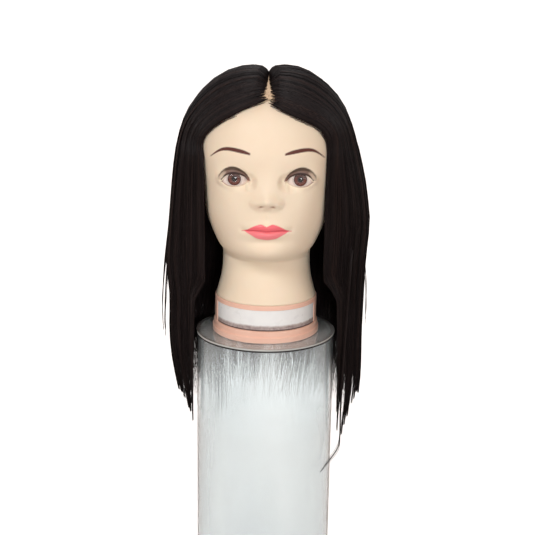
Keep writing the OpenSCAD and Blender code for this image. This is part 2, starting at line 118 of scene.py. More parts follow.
def make_piece(name, points, face_sets, material, body):
    """A smooth mesh object from points in millimetres and arrays of faces, riding on a body."""
    mesh = bpy.data.meshes.new(name)
    mesh.vertices.add(len(points))
    mesh.vertices.foreach_set("co", (points * MM).astype(np.float32).ravel())
    corners = np.concatenate([faces.ravel() for faces in face_sets])
    sizes = np.concatenate([np.full(len(faces), faces.shape[1]) for faces in face_sets])
    mesh.loops.add(len(corners))
    mesh.loops.foreach_set("vertex_index", corners.astype(np.int32))
    mesh.polygons.add(len(sizes))
    mesh.polygons.foreach_set("loop_start", np.r_[0, np.cumsum(sizes)[:-1]].astype(np.int32))
    mesh.polygons.foreach_set("use_smooth", np.ones(len(sizes), bool))
    mesh.update(calc_edges=True)
    mesh.validate()
    mesh.materials.append(material)
    piece = add_object(name, mesh)
    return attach(piece, body)


def loft(number):
    """Faces between neighbouring rings of point numbers. The last axis runs around a ring."""
    after = np.roll(number, -1, -1)
    corners = [number[..., :-1, :], number[..., 1:, :], after[..., 1:, :], after[..., :-1, :]]
    return np.stack(corners, -1).reshape(-1, 4)


def fan(ring, tip):
    """Triangles from a ring of point numbers to one more point."""
    return np.stack([ring, np.roll(ring, -1), np.full(len(ring), tip)], -1)


def set_points(piece, name, values):
    """Keeps a number, or a colour of four, on every point of a piece under that name."""
    kind, field = ("FLOAT", "value") if values.ndim == 1 else ("FLOAT_COLOR", "color")
    kept = piece.data.attributes.new(name, kind, "POINT")
    kept.data.foreach_set(field, values.astype(np.float32).ravel())


# Materials

class Nodes:
    """Short calls for the nodes of a shader tree."""

    def __init__(self, tree):
        self.tree = tree

    def feed(self, socket, source):
        """Sets a socket to a plain value, or links it to another node's output."""
        if isinstance(source, bpy.types.NodeSocket):
            self.tree.links.new(source, socket)
        else:
            socket.default_value = source

    def node(self, kind, *sources, **values):
        """A node. Sources go to its inputs in order, values with a capital to the inputs that they name,
        and the other values are its settings."""
        made = self.tree.nodes.new("ShaderNode" + kind)
        for name, value in values.items():
            if name[0].isupper():
                self.feed(made.inputs[name], value)
            else:
                setattr(made, name, value)
        for socket, source in zip([s for s in made.inputs if s.enabled], sources):
            self.feed(socket, source)
        return made

    def maths(self, operation, *sources):
        return self.node("Math", *sources, operation=operation).outputs["Value"]

    def ramp(self, source, *stops):
        """Colours, or greys, by position."""
        made = self.node("ValToRGB", source)
        while len(made.color_ramp.elements) < len(stops):
            made.color_ramp.elements.new(0.5)
        for element, (position, colour) in zip(made.color_ramp.elements, stops):
            element.position = position
            grey = np.isscalar(colour)
            element.color = (colour, colour, colour, 1) if grey else (*colour, 1)
        return made.outputs["Color"]

    def any_ray(self, *kinds):
        """1 for rays of any of those kinds."""
        path = self.node("LightPath")
        total = path.outputs[kinds[0]]
        for kind in kinds[1:]:
            total = self.maths("MAXIMUM", total, path.outputs[kind])
        return total


class Look(Nodes):
    """A material with one Principled shader."""

    def __init__(self, name, **constants):
        self.material = bpy.data.materials.new(name)
        self.material.use_nodes = True
        super().__init__(self.material.node_tree)
        self.shader = self.tree.nodes["Principled BSDF"]
        for socket, value in constants.items():
            self.set(socket.replace("_", " "), value)

    def set(self, socket, source):
        self.feed(self.shader.inputs[socket], source)

    def place(self, stretch=(1, 1, 1)):
        """Object coordinates in metres, stretched along the axes."""
        here = self.node("TexCoord").outputs["Object"]
        return self.node("Mapping", Vector=here, Scale=stretch).outputs["Vector"]

    def noise(self, scale, detail=3, stretch=(1, 1, 1)):
        made = self.node("TexNoise", Vector=self.place(stretch), Scale=scale, Detail=detail)
        return made.outputs["Fac"]

    def attribute(self, name):
        return self.node("Attribute", attribute_name=name).outputs["Fac"]

    def mottle(self, source, low, high):
        """Two colours, or greys, mixed by a noise."""
        return self.ramp(source, (0.3, low), (0.7, high))

    def blend(self, factor, a, b, mode="MIX"):
        a, b = ((*c, 1) if isinstance(c, (np.ndarray, tuple)) else c for c in (a, b))
        made = self.node("Mix", factor, a, b, data_type="RGBA", blend_type=mode)
        return next(s for s in made.outputs if s.enabled)

    def vector_maths(self, operation, *sources, output="Vector"):
        return self.node("VectorMath", *sources, operation=operation).outputs[output]

    def range(self, source, low, high, to_low=0.0, to_high=1.0):
        made = self.node("MapRange", source, low, high, to_low, to_high, interpolation_type="SMOOTHSTEP")
        return made.outputs["Result"]

    def length(self, vector):
        return self.vector_maths("LENGTH", vector, output="Value")

    def height(self):
        """Height above the foot, in metres."""
        here = self.node("TexCoord").outputs["Object"]
        return self.node("SeparateXYZ", Vector=here).outputs["Z"]

    def relief(self, source, depth, strength=1.0):
        """Bump of that depth in metres."""
        made = self.node("Bump", Height=source, Distance=depth, Strength=strength)
        self.set("Normal", made.outputs["Normal"])


def vinyl_look():
    look = Look(
        "vinyl_skin",
        Specular_IOR_Level=0.3,
        Subsurface_Weight=0.1,
        Subsurface_Radius=(1.0, 0.4, 0.25),
        Subsurface_Scale=0.003,
    )
    cloudy = look.mottle(look.noise(22), linear(243, 229, 206), linear(247, 235, 213))
    # The face's paint, together with the painted shade and highlight laid with it.
    paint = look.node("Attribute", attribute_name="paint")
    look.set("Base Color", look.blend(paint.outputs["Alpha"], cloudy, paint.outputs["Color"]))
    look.set("Roughness", look.range(look.attribute("shine"), 0, 1, 0.5, 0.22))
    look.relief(look.noise(900, 2), 0.0001, 0.3)
    return look.material


def hair_look():
    look = Look("hair", Roughness=0.38, Specular_IOR_Level=0.12)
    black, dark, brown = linear(18, 14, 15), linear(32, 26, 27), linear(58, 45, 42)
    look.set("Base Color", look.ramp(look.attribute("tone"), (0.0, black), (0.55, dark), (1.0, brown)))
    return look.material


def pink_look():
    look = Look("pink_plastic", Specular_IOR_Level=0.5)
    cloudy = look.mottle(look.noise(45), linear(243, 200, 181), linear(248, 210, 192))
    look.set("Base Color", cloudy)
    look.set("Roughness", look.mottle(look.noise(160), 0.28, 0.42))
    look.relief(look.noise(500, 2), 0.0001, 0.2)
    return look.material


def label_look():
    """White paper with a mottled grey band, and a painted shadow along its foot where it sits in the recess.
    """
    look = Look("label_paper", Specular_IOR_Level=0.5)
    bottom = corner("label_strip", 0, 2) * MM
    wavy = look.maths("MULTIPLY_ADD", look.noise(180), 0.002, look.height())
    above_band = look.range(wavy, bottom + 0.0045, bottom + 0.0075)
    # A dark strip painted along the foot stands in for the shadow in the recess under the label.
    above_painted_shadow = look.range(look.height(), bottom + 0.0005, bottom + 0.0016)
    paper = look.mottle(look.noise(120), linear(240, 247, 250), linear(246, 253, 255))
    grey = look.mottle(look.noise(420, 4), linear(150, 138, 138), linear(190, 180, 178))
    banded = look.blend(above_band, grey, paper)
    look.set("Base Color", look.blend(above_painted_shadow, linear(58, 46, 46), banded))
    look.set("Roughness", look.mottle(look.noise(90), 0.25, 0.4))
    return look.material


def scalp_look():
    look = Look("scalp", Roughness=0.6)
    pores = look.node("TexVoronoi", Vector=look.place(), Scale=700)
    root, skin, pale = linear(96, 76, 58), linear(198, 174, 142), linear(214, 192, 160)
    bare = look.ramp(pores.outputs["Distance"], (0.1, root), (0.32, skin), (0.8, pale))
    from_part = look.length(look.place((1, 0, 0)))
    look.set("Base Color", look.blend(look.range(from_part, 0.011, 0.017), bare, linear(26, 19, 17)))
    look.relief(look.noise(600), 0.0002, 0.4)
    return look.material


ACRYLIC_IOR = 1.47


def tube_look():
    """Clear plastic, streaky and milky but for its upper end."""
    look = Look("clouded_plastic", IOR=ACRYLIC_IOR)
    streaks = look.noise(16, 3, (1, 1, 0.25))
    look.set("Base Color", look.mottle(streaks, linear(242, 249, 251), linear(249, 254, 255)))
    clear = look.range(look.height(), (TOP_Z - 110) * MM, (TOP_Z - 50) * MM, 0.76, 0.91)
    streaky = look.range(streaks, 0.3, 0.7, 0.96, 1.03)
    look.set("Transmission Weight", look.maths("MULTIPLY", clear, streaky))
    look.set("Roughness", look.range(look.height(), (TOP_Z - 140) * MM, (TOP_Z - 100) * MM, 0.04, 0.005))
    return look.material


def disc_look():
    """Clear plastic with a ground edge, pale above and darkened below by a painted shadow."""
    look = Look("clear_plastic", IOR=ACRYLIC_IOR)
    from_axis = look.length(look.place((1, 1, 0)))
    rim = look.range(from_axis, (TOP_R - 1.0) * MM, (TOP_R - 0.4) * MM)
    above_painted_shadow = look.range(look.height(), (TOP_Z - 1.5) * MM, (TOP_Z - 1.1) * MM)
    cloudy = look.mottle(look.noise(60), linear(240, 244, 244), linear(250, 252, 252))
    # The rim's lower part is painted dark as a shadow; its upper part keeps the pale ground edge.
    ground_rim_and_painted_shadow = look.blend(above_painted_shadow, linear(52, 54, 56), linear(214, 220, 219))
    look.set("Base Color", look.blend(rim, cloudy, ground_rim_and_painted_shadow))
    look.set("Transmission Weight", look.range(rim, 0, 1, 0.8, 0.2))
    look.set("Roughness", look.range(rim, 0, 1, 0.02, 0.25))
    return look.material


def metal_look(name, tint):
    look = Look(name, Metallic=1.0)
    turned = look.noise(300, 2, (0.2, 0.2, 6))
    look.set("Base Color", look.mottle(turned, tint * 0.85, tint))
    look.set("Roughness", look.mottle(turned, 0.22, 0.4))
    look.relief(turned, 0.0001, 0.2)
    return look.material


def wood_look():
    look = Look("plug_wood", Roughness=0.65)
    grain = look.noise(60, 5, (1, 0.15, 1))
    look.set("Base Color", look.mottle(grain, linear(176, 132, 84), linear(212, 172, 120)))
    look.relief(grain, 0.0003, 0.4)
    return look.material


def moulded_look(name, dark, pale, roughness):
    look = Look(name)
    look.set("Base Color", look.mottle(look.noise(80), dark, pale))
    look.set("Roughness", look.mottle(look.noise(200), roughness, roughness + 0.12))
    look.relief(look.noise(400), 0.0002, 0.3)
    return look.material


def eye_white_look():
    look = Look("eye_white", Roughness=0.15, Specular_IOR_Level=0.5)
    veined = look.mottle(look.noise(160, 4), linear(232, 218, 212), linear(243, 235, 231))
    look.set("Base Color", veined)
    return look.material


def eye_lens_look():
    """A thin clear gloss that lets light straight through."""
    look = Look("eye_lens", Base_Color=(0, 0, 0, 1), Alpha=0.1, IOR=4.0)
    look.set("Roughness", look.ramp(look.noise(300), (0.3, 0.02), (0.8, 0.06)))
    return look.material


def iris_look(node):
    """Brown rays about a black pupil, with a dark rim, and a painted shadow of the lid over its upper part.
    """
    low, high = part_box(node)
    look = Look(node, Roughness=0.6, Specular_IOR_Level=0.1)
    here = look.node("TexCoord").outputs["Object"]
    offset = look.vector_maths("SUBTRACT", here, (low + high) / 2)
    radius = (high.x - low.x) / 2
    share = look.maths("DIVIDE", look.length(offset), radius)
    rays = look.node("TexNoise", Vector=look.vector_maths("NORMALIZE", offset), Scale=9)
    brown = look.mottle(rays.outputs["Fac"], linear(92, 46, 40), linear(150, 88, 76))
    pupil = look.ramp(share, (0.36, 0.0), (0.52, 1.0))
    rim = look.ramp(share, (0.8, 1.0), (0.98, 0.3))
    # Painted shade: the iris darkens towards its top as if shaded by the upper lid.
    shaded = look.range(look.height(), low.z, high.z, 1.1, 0.45)
    coloured = look.blend(pupil, linear(14, 9, 9), look.blend(1.0, brown, shaded, "MULTIPLY"))
    look.set("Base Color", look.blend(1.0, coloured, rim, "MULTIPLY"))
    return look.material


# Shape of the plain head, as in the frame

NECK_D = 89.6
NECK_STEP = 1.1
NECK_H = 51
FACE_H = 100
HEAD_W = 142
FACE_D = 89
BACK_D = 91
NECK_POWER = 2
FACE_POWER = 2.3
BACK_POWER = 2.1
DOME_POWER = 2.4
CHIN_Z = NECK_Z + NECK_H
SKULL_Z = CHIN_Z + FACE_H
DOME_H = CROWN_Z - SKULL_Z
NECK_R = NECK_D / 2
NECK_FOOT_R = COLLAR_R - NECK_STEP

# Reach at shares of the neck's or the face's height
NECK_FLARE = ((0, NECK_FOOT_R), (0.22, mix(NECK_R, NECK_FOOT_R, 0.55)), (0.42, mix(NECK_R, NECK_FOOT_R, 0.2)))
NECK_SIDE = ((0.68, NECK_R),)
NECK_FRONT = ((0.64, 0.97 * NECK_R), (0.8, NECK_R), (0.88, 0.53 * FACE_D), (0.94, 0.64 * FACE_D))
NECK_BACK = ((0.7, 1.16 * NECK_R),)
FACE_SIDE = (
    (0, 0.32), (0.07, 0.35), (0.16, 0.38), (0.3, 0.42), (0.41, 0.439), (0.53, 0.45), (0.75, 0.467), (1, 0.5),
)
FACE_FRONT = (
    (0, 0.76), (0.03, 0.84), (0.07, 0.893), (0.13, 0.927), (0.22, 0.935), (0.35, 0.955), (0.6, 0.978), (1, 1),
)
FACE_BACK = ((0, 0.66), (0.2, 0.77), (0.4, 0.868), (0.6, 0.934), (0.8, 0.978), (1, 1))


def head_knots(neck, face, full):
    """Reach by height, up the neck and then up the face, where it is a share of the full reach."""
    low = [(NECK_Z + share * NECK_H, reach) for share, reach in NECK_FLARE + neck]
    return low + [(CHIN_Z + share * FACE_H, reach * full) for share, reach in face]


SIDE_KNOTS = head_knots(NECK_SIDE, FACE_SIDE, HEAD_W)
FRONT_KNOTS = head_knots(NECK_FRONT, FACE_FRONT, FACE_D)
BACK_KNOTS = head_knots(NECK_BACK, FACE_BACK, BACK_D)


def front_power(z):
    return mix(NECK_POWER, FACE_POWER, smooth((z - CHIN_Z) / (0.6 * FACE_H)))


def rear_power(z):
    return mix(NECK_POWER, BACK_POWER, smooth((z - NECK_Z) / NECK_H))


def dome_share(z):
    rise = np.clip((z - SKULL_Z) / DOME_H, 0, 1)
    return (1 - rise**DOME_POWER) ** (1 / DOME_POWER)


# Places on the face: across from the middle, and up from the underside of the chin

EYE_X = (corner("left_eye_iris", 0, 0) + corner("left_eye_iris", 1, 0)) / 2
EYE_R = (corner("left_eye_white", 1, 0) - corner("left_eye_white", 0, 0)) / 2
EYE_Y = corner("left_eye_white", 1, 1) - EYE_R
EYE_Z = corner("left_eye_white", 1, 2) - EYE_R
LID_R = EYE_R + 0.9
LID_BLEND = 1.0
LID_DEPTH = 2.6
SOCKET_DEPTH = 3.5
SKIN_T = 5.2

# Edges of the eye opening from the inner corner (negative) to the outer one, about the eyeball's centre
OPEN_INNER = -12.8
OPEN_OUTER = 12
UPPER_LID = (
    (OPEN_INNER, -1.8), (-9.6, 1.8), (-4.2, 4.6), (1.5, 5.1), (7, 3.7), (10.3, 0.9), (OPEN_OUTER, -1.4),
)
LOWER_LID = (
    (OPEN_INNER, -2.2), (-9.5, -4.5), (-4.8, -6.0), (1, -6.4), (6, -5.6), (9.5, -3.9), (OPEN_OUTER, -1.9),
)
CREASE_INNER = -15.2
CREASE_OUTER = 16
CREASE = (
    (CREASE_INNER, -1.2), (-11.6, 4.8), (-6, 9.0), (0.8, 10.7), (6.6, 9.7), (11.8, 6.2), (CREASE_OUTER, 0.4),
)

# Edges of the lips about the mouth's line
MOUTH_UP = 33.9
LIP_HALF = 22.4
UPPER_LIP = ((0, 5.3), (2.5, 6.2), (5.5, 7.0), (10, 5.8), (15, 3.4), (19, 1.2), (LIP_HALF, 0))
LOWER_LIP = ((0, -8.3), (5, -8.1), (9.3, -7.2), (13.4, -5.0), (17, -2.9), (20, -1.0), (LIP_HALF, 0))

# Brow: height and half thickness by distance from the middle
BROW_INNER = 16.6
BROW_OUTER = 55
BROW = (
    (BROW_INNER, 108.4), (22.5, 110), (28, 111), (33.7, 111.7), (39.5, 111.5), (44.5, 110), (49.3, 106.8),
    (BROW_OUTER, 101.7),
)
BROW_HALF = (
    (BROW_INNER, 1.0), (22.5, 1.7), (28, 1.85), (33.7, 1.8), (39.5, 1.6), (44.5, 1.3), (49.3, 0.9),
    (BROW_OUTER, 0.4),
)

# Nose: reach of its ridge and half width by height
NOSE_RIDGE = (
    (51.5, 0), (54.5, 1.3), (58, 4.4), (61, 7.3), (64, 8.6), (67, 8), (72, 5.6), (80, 2.8), (88, 1.1),
    (95, 0.3), (100, 0),
)
NOSE_HALF = ((54, 10.5), (62, 10.5), (72, 11), (82, 12), (92, 13), (100, 14))
WING_X = 10.8
WING_UP = 61
WING_FOLD = 0.25
WING_FOLD_R = 6.4
NOSTRIL_X = 5.7
NOSTRIL_UP = 58.4

# Swellings and hollows of the face: how far out, then the place and radius across and upward
SWELLINGS = {
    "chin": (2.4, (0, 15), (11, 9)),
    "fold over the chin": (-1.5, (0, 16), (22, 4)),
    "lower lip": (4.2, (0, 13.5), (MOUTH_UP - 4.2, 4.6)),
    "corner of the mouth": (-0.9, (23.5, 3), (34.5, 3)),
    "upper lip": (3.4, (0, 15.5), (MOUTH_UP + 3.8, 4.2)),
    "cheek": (1.8, (36, 15), (52, 17)),
    "nostril": (-2.2, (NOSTRIL_X, 2.3), (NOSTRIL_UP, 1.5)),
    "wing of the nose": (2.7, (WING_X, 5.2), (WING_UP, 5.2)),
    "tip of the nose": (1.8, (0, 6.5), (63.5, 6.5)),
    "beside the nose": (-0.9, (15, 6), (84, 9)),
    "temple": (4.0, (EYE_X + 15, 12), (80, 17)),
    "brow": (1.2, (28, 22), (106, 8)),
}

# Rise of the lips, their seam, and the groove between them and the nose
LIP_RISE = 0.4
SEAM_DEPTH = 2.4
SEAM_HALF = 0.9
GROOVE_DEPTH = 0.7
GROOVE_HALF = 2.2
GROOVE_FOOT = 40
GROOVE_TOP = 56
GROOVE_FADE = 4


def mouth_line(across):
    return MOUTH_UP - 0.4 * bump(across, 4) - 0.8 * smooth((across - 12) / 12)


def lips_mask(across, up):
    above = up - mouth_line(across)
    inside = np.minimum(curve(UPPER_LIP, across) - above, above - curve(LOWER_LIP, across))
    return smooth(inside / 0.9 + 0.5) * (across < LIP_HALF + 1)


def swelling_reach(across, up):
    reach = 0
    for rise, (x, x_radius), (height, height_radius) in SWELLINGS.values():
        reach = reach + rise * bump(across - x, x_radius) * bump(up - height, height_radius)
    return reach


def nose_reach(across, up):
    from_wing = np.hypot(across - WING_X, up - WING_UP)
    fold = WING_FOLD * bump(from_wing - WING_FOLD_R, 1.3) * smooth((across - WING_X + 2) / 4)
    return curve(NOSE_RIDGE, up) * bump(across, curve(NOSE_HALF, up)) - fold


def mouth_reach(across, up):
    seam = SEAM_DEPTH * bump(up - mouth_line(across), SEAM_HALF) * smooth((LIP_HALF + 1.5 - across) / 5)
    ends = smooth((up - GROOVE_FOOT) / GROOVE_FADE) * smooth((GROOVE_TOP - up) / GROOVE_FADE)
    groove = GROOVE_DEPTH * bump(across, GROOVE_HALF) * ends
    return LIP_RISE * lips_mask(across, up) - seam - groove


def socket_depth(across, up):
    """Hollow around an eye, shallower below it."""
    above = up + CHIN_Z - EYE_Z
    return SOCKET_DEPTH * bump(above, 11) * bump(across - EYE_X, 14) * mix(0.3, 1, smooth(above / 8 + 0.9))


def face_reach(across, up):
    """Reach of the features in front of the plain head."""
    features = swelling_reach(across, up) + nose_reach(across, up) + mouth_reach(across, up)
    return features - socket_depth(across, up)


# How the skin blends into the lids, the fold over the upper lid, and the room left around the eyeball
INNER_BLEND = 10
OUTER_BLEND = 7
BLEND_START = -4
BLEND_RUN = 10
CORNER_HOLD = 10
FOLD_DEPTH = 0.7
FOLD_HALF = 0.8
ROOM_DEPTH = 6
ROOM_R = 11
ROOM_FADE = 4


def foam_front(x, z):
    """Reach of the front of the foam under the skin."""
    level = np.minimum(z, SKULL_Z)
    share, power = dome_share(z), front_power(level)
    half, reach = curve(SIDE_KNOTS, level) - SKIN_T, curve(FRONT_KNOTS, level) - SKIN_T
    sideways = np.clip(np.abs(x) / np.maximum(share * half, 1e-6), 0, 1)
    return share * reach * (1 - sideways**power) ** (1 / power)


def draw_lids(ahead, across, z):
    """Draws the skin on to the eyeball around the eye's opening."""
    u, v = across - EYE_X, z - EYE_Z
    near_u = np.clip(u, OPEN_INNER, OPEN_OUTER)
    near_v = np.clip(v, curve(LOWER_LID, near_u), curve(UPPER_LID, near_u))
    held_u = np.clip(near_u, -CORNER_HOLD, CORNER_HOLD)
    edge = np.sqrt(LID_R**2 - held_u**2 - near_v**2) - EYE_Y
    ball = LID_R**2 - u**2 - v**2
    over_ball = soft_max(ahead, np.sqrt(np.maximum(ball, 0)) - EYE_Y, LID_BLEND)
    wrapped = np.where(ball > 0, over_ball, ahead)
    gap = np.hypot(u - near_u, v - near_v)
    hold = 1 - smooth(gap / mix(OUTER_BLEND, INNER_BLEND, smooth((BLEND_START - u) / BLEND_RUN)))
    fold = FOLD_DEPTH * bump(v - curve(CREASE, u), FOLD_HALF) * (u > CREASE_INNER) * (u < CREASE_OUTER)
    room = ROOM_DEPTH * (1 - smooth((np.hypot(u, v) - ROOM_R) / ROOM_FADE))
    return np.maximum(mix(wrapped, edge, hold) - fold, foam_front(across, z) - room)


# Skin: a fine grid whose rows follow the eyelids

FINE_X = 52
EYE_STEP = 0.46
FACE_STEP = 0.6
EYE_REACH = 15
SIDE_COLUMNS = 33
REAR_COLUMNS = 23
FOOT_ROWS = 24
FOOT_TOP_Z = CHIN_Z - 9
LEAST_ROW_GAP = 0.5
ROWS_BELOW_EYE = 152
ROWS_ABOVE_EYE = 62
CROWN_ROWS = 30
UPPER_ROW = 6.6
LOWER_ROW = -6.6
LID_FADE = 12
CORNER_FADE = 8
FACE_SIDES = 2.5
RIM_INSIDE = 0.8


def skin_columns():
    """Directions around the head from the front, in radians, closest together across the eyes."""
    eye_in, eye_out = EYE_X - EYE_REACH, EYE_X + EYE_REACH
    nose = np.arange(0, eye_in, FACE_STEP)
    eye = np.arange(eye_in, eye_out, EYE_STEP)
    temple = np.arange(eye_out, FINE_X, FACE_STEP)
    fine = np.arcsin(np.r_[nose, eye, temple] / (HEAD_W / 2))
    side = np.linspace(fine[-1], math.pi / 2, SIDE_COLUMNS)[1:]
    rear = np.linspace(math.pi / 2, math.pi, REAR_COLUMNS)[1:]
    one_way = np.r_[fine, side, rear]
    return np.r_[-one_way[-2:0:-1], one_way]


def skin_rows():
    foot = np.linspace(NECK_Z, FOOT_TOP_Z, FOOT_ROWS)
    middle = EYE_Z + FACE_STEP * np.arange(-ROWS_BELOW_EYE, ROWS_ABOVE_EYE)
    rise = math.asin((middle[-1] - SKULL_Z) / DOME_H)
    crown = SKULL_Z + DOME_H * np.sin(np.linspace(rise, math.pi / 2, CROWN_ROWS)[1:-1])
    return np.r_[foot[foot < middle[0] - LEAST_ROW_GAP], middle, crown]


def lid_shift(across, v):
    """How far rows at heights v about the eyeball's centre move to follow the lids."""
    u = across - EYE_X
    beyond = np.maximum(np.maximum(OPEN_INNER - u, u - OPEN_OUTER), 0)
    hold = 1 - smooth(beyond / CORNER_FADE)
    upper = (curve(UPPER_LID, u) - UPPER_ROW) * hold
    lower = (curve(LOWER_LID, u) - LOWER_ROW) * hold
    between = mix(lower, upper, np.clip((v - LOWER_ROW) / (UPPER_ROW - LOWER_ROW), 0, 1))
    away = np.maximum(np.maximum(LOWER_ROW - v, v - UPPER_ROW), 0)
    return between * (1 - smooth(away / LID_FADE))


def half_width(z):
    return dome_share(z) * curve(SIDE_KNOTS, np.minimum(z, SKULL_Z))


def skin_surface():
    """Points of the face, head and neck as rows by columns."""
    angle = skin_columns()[None, :]
    z = skin_rows()[:, None] + 0 * angle
    sideways = np.sin(angle)
    facing = np.cos(angle) > 0
    z = z + np.where(facing, lid_shift(np.abs(half_width(z) * sideways), z - EYE_Z), 0)
    x = half_width(z) * sideways
    level = np.minimum(z, SKULL_Z)
    power = np.where(facing, front_power(level), rear_power(level))
    reach = np.where(facing, -curve(FRONT_KNOTS, level), curve(BACK_KNOTS, level))
    y = dome_share(z) * reach * (1 - np.abs(sideways) ** power) ** (1 / power)
    features = face_reach(np.abs(x), z - CHIN_Z) * smooth(np.cos(angle) * FACE_SIDES)
    ahead = draw_lids(features - y, np.abs(x), z)
    return np.stack([x, np.where(facing, -ahead, y), z], -1)


# Colours of the paint on the skin, among them painted shade in the nostrils and the seam of the lips, and a
# painted highlight on the upper lids
BROW_PAINT = (80, 18, 12)
LID_PAINT = (110, 84, 76)
LID_HIGHLIGHT_PAINT = (226, 204, 186)
CREASE_PAINT = (66, 48, 34)
LASH_PAINT = (48, 28, 26)
LOWER_LASH_PAINT = (128, 78, 68)
EYE_CORNER_PAINT = (160, 112, 100)
LOWER_LIP_PAINT = (253, 142, 150)
UPPER_LIP_PAINT = (243, 110, 122)
SEAM_SHADE_PAINT = (206, 74, 88)
NOSTRIL_SHADE_PAINT = (150, 104, 76)

# Half width of the painted lines, at their ends and in the middle
CREASE_HALF = (0.7, 1.7)
LASH_HALF = (0.6, 1.15)


class Paint:
    """Colours laid over bare skin, point by point, with how much of the skin each covers."""

    def __init__(self, count):
        self.layers = np.zeros((count, 4))

    def lay(self, colour, amount):
        amount = np.clip(amount, 0, 1)[:, None]
        self.layers = self.layers * (1 - amount) + np.r_[linear(*colour), 1] * amount

    def result(self):
        """Plain colour with its share of cover as the fourth value."""
        cover = self.layers[:, 3:]
        return np.hstack([self.layers[:, :3] / np.maximum(cover, 1e-4), cover])


def line_mask(distance, half, soft=0.5):
    return smooth((half - np.abs(distance)) / soft + 0.5)


def ends_mask(p, low, high, fade):
    """1 between two ends, fading out beyond them."""
    return smooth((p - low) / fade + 1) * smooth((high - p) / fade + 1)


def paint_brow(paint, across, up, front):
    brow = line_mask(up - curve(BROW, across), curve(BROW_HALF, across), 0.7)
    ends = ends_mask(across, BROW_INNER + 0.5, BROW_OUTER - 1, 1.5)
    paint.lay(BROW_PAINT, 0.97 * brow * ends * front)


def paint_eye(paint, across, z, front):
    u, v = across - EYE_X, z - EYE_Z
    crease, upper, lower = curve(CREASE, u), curve(UPPER_LID, u), curve(LOWER_LID, u)
    crease_ends = ends_mask(u, CREASE_INNER + 1, CREASE_OUTER - 1.5, 1.8) * front
    lid_ends = ends_mask(u, OPEN_INNER, OPEN_OUTER, 1.5) * front
    lid = smooth((v - upper) / 0.8) * smooth((crease - v) / 0.8)
    paint.lay(LID_PAINT, mix(0.95, 0.35, smooth((u - 6) / 7)) * lid * crease_ends)
    line = line_mask(v - crease, mix(*CREASE_HALF, bump(u, 9)), 0.9)
    paint.lay(CREASE_PAINT, 0.95 * line * crease_ends)
    # Painted highlight: a pale line on the upper lid towards its outer end.
    pale = line_mask(v - 0.5 * (crease + upper) - 0.4, 0.5, 0.8) * ends_mask(u, 9, 13, 2)
    paint.lay(LID_HIGHLIGHT_PAINT, 0.6 * pale * front)
    lash = line_mask(v - upper - 0.9, mix(*LASH_HALF, bump(u - 1, 9)), 0.5)
    paint.lay(LASH_PAINT, 0.97 * lash * lid_ends)
    under = line_mask(v - lower + 0.3, 0.4, 0.6) * mix(0.4, 0.8, smooth((u + 6) / 14))
    paint.lay(LOWER_LASH_PAINT, under * lid_ends)
    corner_mask = bump(np.hypot(u - OPEN_INNER + 0.4, v + 0.7), 1.5)
    paint.lay(EYE_CORNER_PAINT, 0.6 * corner_mask * front)


def paint_mouth(paint, across, up, front):
    """Lips, and painted shade in their seam. Returns how much of each point is lip."""
    lips = lips_mask(across, up) * front
    above = up - mouth_line(across)
    paint.lay(LOWER_LIP_PAINT, lips)
    paint.lay(UPPER_LIP_PAINT, 0.85 * lips * smooth(above / 1.5 + 0.5))
    # Painted shade along the seam between the lips and a little past their corners.
    seam = line_mask(above, 0.5, 0.8) * ends_mask(across, -1, LIP_HALF + 1, 1.5)
    paint.lay(SEAM_SHADE_PAINT, 0.6 * seam * front)
    return lips


def paint_nostrils(paint, across, up, front):
    # Painted shade in the nostrils.
    slant = up - NOSTRIL_UP + 0.25 * (across - NOSTRIL_X)
    paint.lay(NOSTRIL_SHADE_PAINT, 0.8 * bump(across - NOSTRIL_X, 2.3) * bump(slant, 1.1) * front)


def skin_openings(grid):
    """First and last row of the eye openings, and which columns they take in."""
    heights = skin_rows() - EYE_Z
    low = int(np.argmin(np.abs(heights - LOWER_ROW)))
    high = int(np.argmin(np.abs(heights - UPPER_ROW)))
    u = np.abs(grid[low:high + 1, :, 0]) - EYE_X
    inside = ((u > OPEN_INNER) & (u < OPEN_OUTER)).all(0)
    return low, high, inside & (np.cos(skin_columns()) > 0)


def turned_in(edge):
    """Edge of an eye's opening, moved back until it is just inside the eyeball."""
    u, v = np.abs(edge[:, 0]) - EYE_X, edge[:, 2] - EYE_Z
    inside_ball = EYE_Y - np.sqrt(EYE_R**2 - u**2 - v**2) + RIM_INSIDE
    return np.column_stack([edge[:, 0], np.maximum(edge[:, 1] + LID_DEPTH, inside_ball), edge[:, 2]])


def skin_faces(grid):
    """Points and faces: the grid with its top and foot closed and its eye openings turned in."""
    rows, columns = grid.shape[:2]
    number = np.arange(rows * columns).reshape(rows, columns)
    low, high, opening = skin_openings(grid)
    beside = np.roll(number, -1, 1)
    quads = np.stack([number[:-1], beside[:-1], beside[1:], number[1:]], -1)
    row = np.arange(rows - 1)[:, None]
    gone = (row >= low) & (row < high) & (opening & np.roll(opening, -1))
    points, faces = [grid.reshape(-1, 3)], [quads[~gone]]
    count = rows * columns
    for ring, height in ((number[-1], CROWN_Z), (number[0, ::-1], NECK_Z)):
        points.append(np.array([[0, 0, height]]))
        faces.append(fan(ring, count))
        count += 1
    for side in (RIGHT, LEFT):
        cols = np.flatnonzero(opening & (np.sign(grid[low, :, 0]) == side))
        up_side, down_side = number[low + 1:high, cols[-1]], number[low + 1:high, cols[0]][::-1]
        edge = np.r_[number[low, cols], up_side, number[high, cols[::-1]], down_side]
        rim = turned_in(grid.reshape(-1, 3)[edge])
        turned = count + np.arange(len(edge))
        points += [rim, rim.mean(0, keepdims=True)]
        faces.append(np.stack([np.roll(edge, -1), np.roll(turned, -1), turned, edge], -1))
        faces.append(fan(turned, count + len(edge)))
        count += len(edge) + 1
    return np.concatenate(points), faces


